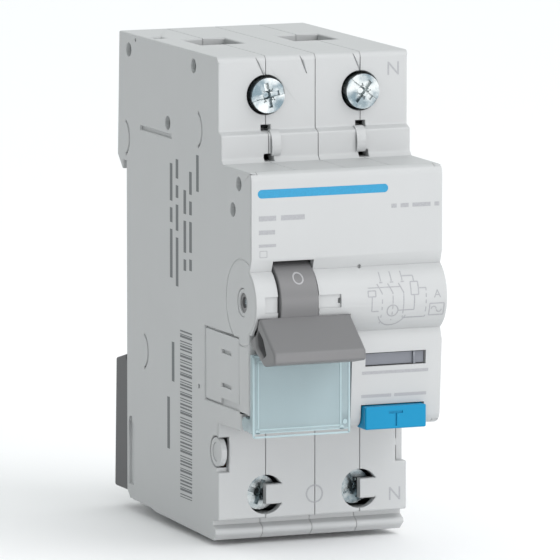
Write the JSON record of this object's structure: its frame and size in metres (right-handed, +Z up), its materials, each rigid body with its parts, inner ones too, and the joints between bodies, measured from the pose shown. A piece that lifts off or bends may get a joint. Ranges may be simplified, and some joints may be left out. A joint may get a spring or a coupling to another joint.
{
  "type": "residual current device",
  "caption": "DIN-rail residual current breaker with off-position lever, hinged clear label cover, fault window, test button, screw terminals and sprung rail clip.",
  "frame": {"origin": "middle of the face that rests on the rail, on the rail's centre line", "axes": "+X right seen from the front, +Y into the wall, +Z up"},
  "size_m": [0.0354, 0.0765, 0.0857],
  "materials": {
    "blue_plastic": "satin blue",
    "brass": "rolled brass",
    "ceramic": "unglazed",
    "circuit_board": "green laminate",
    "clear_cover": "clear, faintly blue",
    "copper": "bare copper",
    "dark_grey_plastic": "matt dark grey",
    "flag_yellow": "matt yellow",
    "grey_plastic": "matt mid grey",
    "housing_plastic": "fine matt moulded light grey",
    "inner_plastic": "matt dark moulding",
    "lens_plastic": "smoked clear",
    "paper_label": "plain card",
    "soft_iron": "dull iron",
    "spring_steel": "bright wire",
    "wire_insulation": "blue insulation",
    "zinc_steel": "blue zinc plated"
  },
  "bodies": {
    "housing": {"accessory_cover": "housing_plastic", "arc_chute": "soft_iron", "bimetal_strip": "brass", "circuit_board": "circuit_board", "coil_bobbin": "inner_plastic", "contact_spring": "spring_steel", "coupling_plug": "housing_plastic", "front_cover": "housing_plastic", "housing_rivet_1": "zinc_steel", "housing_rivet_2": "zinc_steel", "housing_rivet_3": "zinc_steel", "housing_rivet_4": "zinc_steel", "housing_rivet_5": "zinc_steel", "indicator_lens": "lens_plastic", "label_card": "paper_label", "left_inner_shell": "housing_plastic", "left_outer_shell": "housing_plastic", "lower_neutral_bar": "copper", "lower_phase_bar": "copper", "magnetic_coil": "copper", "neutral_conductor": "wire_insulation", "neutral_contact_anvil": "copper", "phase_conductor": "wire_insulation", "phase_contact_anvil": "copper", "relay_coil": "copper", "right_inner_shell": "housing_plastic", "right_outer_shell": "housing_plastic", "secondary_winding": "copper", "test_contact_leaf": "brass", "test_resistor": "ceramic", "toggle_spring": "spring_steel", "transformer_core": "soft_iron", "trip_pin": "zinc_steel", "trip_relay": "inner_plastic", "upper_neutral_bar": "copper", "upper_phase_bar": "copper"},
    "toggle": {"toggle_lever": "grey_plastic", "toggle_pin": "zinc_steel"},
    "link": {"link_rod": "zinc_steel"},
    "contact_bridge": {"contact_crossbar": "inner_plastic", "phase_contact_arm": "copper", "neutral_contact_arm": "copper"},
    "trip_lever": {"trip_lever": "inner_plastic"},
    "plunger": {"plunger": "soft_iron"},
    "relay_armature": {"relay_armature": "soft_iron"},
    "fault_flag": {"fault_flag": "flag_yellow"},
    "test_button": {"test_button": "blue_plastic", "test_button_spring": "spring_steel"},
    "rail_clip": {"rail_clip": "dark_grey_plastic", "rail_clip_spring": "spring_steel"},
    "label_cover": {"clear_label_cover": "clear_cover"},
    "upper_phase_screw": {"upper_phase_screw": "zinc_steel"},
    "upper_phase_cage": {"upper_phase_cage": "zinc_steel"},
    "upper_neutral_screw": {"upper_neutral_screw": "zinc_steel"},
    "upper_neutral_cage": {"upper_neutral_cage": "zinc_steel"},
    "lower_phase_screw": {"lower_phase_screw": "zinc_steel"},
    "lower_phase_cage": {"lower_phase_cage": "zinc_steel"},
    "lower_neutral_screw": {"lower_neutral_screw": "zinc_steel"},
    "lower_neutral_cage": {"lower_neutral_cage": "zinc_steel"}
  },
  "joints": [
    {"name": "toggle_turn", "type": "hinge", "parent": "housing", "child": "toggle", "pos_m": [-0.0099, -0.0552, -0.0003], "axis": [-1, 0, 0], "range_deg": [0, 75]},
    {"name": "link_turn", "type": "hinge", "parent": "toggle", "child": "link", "pos_m": [-0.0099, -0.0547, 0.004], "axis": [1, 0, 0], "range_deg": [0, 91]},
    {"name": "contact_close", "type": "hinge", "parent": "housing", "child": "contact_bridge", "pos_m": [0, -0.038, -0.003], "axis": [1, 0, 0], "range_deg": [0, 14.6]},
    {"name": "trip_lever_turn", "type": "hinge", "parent": "housing", "child": "trip_lever", "pos_m": [-0.009, -0.041, 0.011], "axis": [1, 0, 0], "range_deg": [0, 8]},
    {"name": "plunger_slide", "type": "slide", "parent": "housing", "child": "plunger", "axis": [0, -1, 0], "range_m": [0, 0.0022], "stiffness_N_per_m": 60, "springref_m": -0.001},
    {"name": "armature_turn", "type": "hinge", "parent": "housing", "child": "relay_armature", "pos_m": [0.0113, -0.0405, 0.0156], "axis": [-1, 0, 0], "range_deg": [0, 8]},
    {"name": "fault_flag_rise", "type": "slide", "parent": "housing", "child": "fault_flag", "axis": [0, 0, 1], "range_m": [0, 0.0023]},
    {"name": "test_button_press", "type": "slide", "parent": "housing", "child": "test_button", "axis": [0, 1, 0], "range_m": [0, 0.0018], "stiffness_N_per_m": 300, "springref_m": -0.002},
    {"name": "rail_clip_pull", "type": "slide", "parent": "housing", "child": "rail_clip", "axis": [0, 0, -1], "range_m": [0, 0.0045], "stiffness_N_per_m": 1500, "springref_m": -0.003, "deforming": ["rail_clip_spring"]},
    {"name": "label_cover_open", "type": "hinge", "parent": "housing", "child": "label_cover", "pos_m": [-0.00845, -0.056, -0.0213], "axis": [1, 0, 0], "range_deg": [0, 100]},
    {"name": "upper_phase_screw_turn", "type": "hinge", "parent": "housing", "child": "upper_phase_screw", "pos_m": [-0.00885, -0.0453, 0.034], "axis": [0, 1, 0], "range_deg": [0, 2251]},
    {"name": "upper_phase_cage_slide", "type": "slide", "parent": "housing", "child": "upper_phase_cage", "axis": [0, -1, 0], "range_m": [0, 0.005]},
    {"name": "upper_neutral_screw_turn", "type": "hinge", "parent": "housing", "child": "upper_neutral_screw", "pos_m": [0.00885, -0.0453, 0.034], "axis": [0, 1, 0], "range_deg": [0, 2251]},
    {"name": "upper_neutral_cage_slide", "type": "slide", "parent": "housing", "child": "upper_neutral_cage", "axis": [0, -1, 0], "range_m": [0, 0.005]},
    {"name": "lower_phase_screw_turn", "type": "hinge", "parent": "housing", "child": "lower_phase_screw", "pos_m": [-0.00885, -0.041, -0.0359], "axis": [0, 1, 0], "range_deg": [0, 2251]},
    {"name": "lower_phase_cage_slide", "type": "slide", "parent": "housing", "child": "lower_phase_cage", "axis": [0, -1, 0], "range_m": [0, 0.005]},
    {"name": "lower_neutral_screw_turn", "type": "hinge", "parent": "housing", "child": "lower_neutral_screw", "pos_m": [0.00885, -0.041, -0.0359], "axis": [0, 1, 0], "range_deg": [0, 2251]},
    {"name": "lower_neutral_cage_slide", "type": "slide", "parent": "housing", "child": "lower_neutral_cage", "axis": [0, -1, 0], "range_m": [0, 0.005]}
  ],
  "couplings": [
    {"joint": "link_turn", "follows": "toggle_turn", "ratio": 1.21},
    {"joint": "contact_close", "follows": "toggle_turn", "ratio": 0.1933},
    {"joint": "armature_turn", "follows": "fault_flag_rise", "rad_per_m": 58.48},
    {"joint": "upper_phase_screw_turn", "follows": "upper_phase_cage_slide", "rad_per_m": 7854},
    {"joint": "upper_neutral_screw_turn", "follows": "upper_neutral_cage_slide", "rad_per_m": 7854},
    {"joint": "lower_phase_screw_turn", "follows": "lower_phase_cage_slide", "rad_per_m": 7854},
    {"joint": "lower_neutral_screw_turn", "follows": "lower_neutral_cage_slide", "rad_per_m": 7854}
  ]
}
